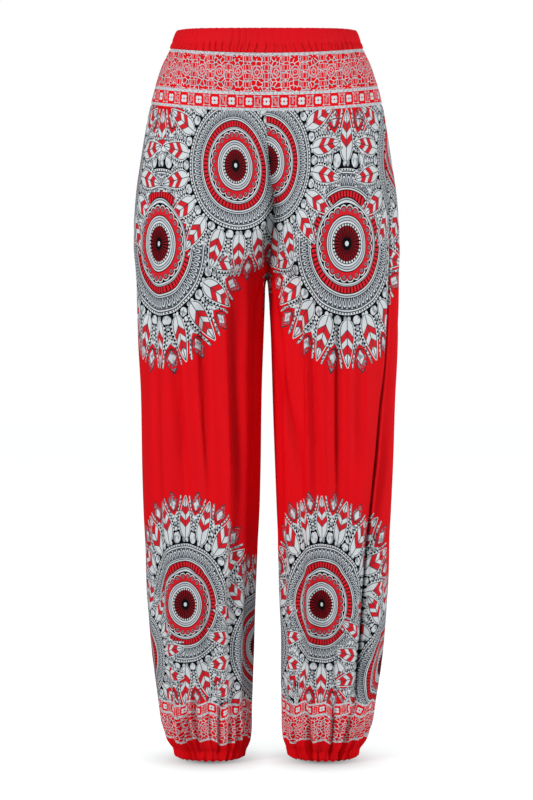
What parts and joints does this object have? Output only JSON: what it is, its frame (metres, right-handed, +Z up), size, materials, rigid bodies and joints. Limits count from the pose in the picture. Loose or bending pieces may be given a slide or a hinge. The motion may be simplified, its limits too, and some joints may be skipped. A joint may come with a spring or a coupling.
{
  "type": "harem pants",
  "caption": "Long loose trousers with a gathered elastic waist, a fitted hip yoke and full legs drawn in by elastic at the ankles, filled out as if worn.",
  "frame": {"origin": "middle of the waist opening, level with the top of the waistband", "axes": "+Z up along the length, the front faces -Y, +X is the wearer's left"},
  "size_m": [0.3638, 0.2584, 0.998],
  "materials": {
    "waistband_cloth": "plain red viscose twill, soft sheen",
    "yoke_print": "red viscose printed with a white net and a row of flowers",
    "leg_print": "red viscose printed with large round ornaments in white, grey, black and red",
    "casing_cloth": "plain red viscose, gathered"
  },
  "bodies": {
    "root": {"waistband": "waistband_cloth", "yoke_front": "yoke_print", "yoke_back": "yoke_print", "right_leg_front": "leg_print", "right_leg_back": "leg_print", "left_leg_front": "leg_print", "left_leg_back": "leg_print", "right_ankle_casing": "casing_cloth", "left_ankle_casing": "casing_cloth"}
  },
  "joints": []
}
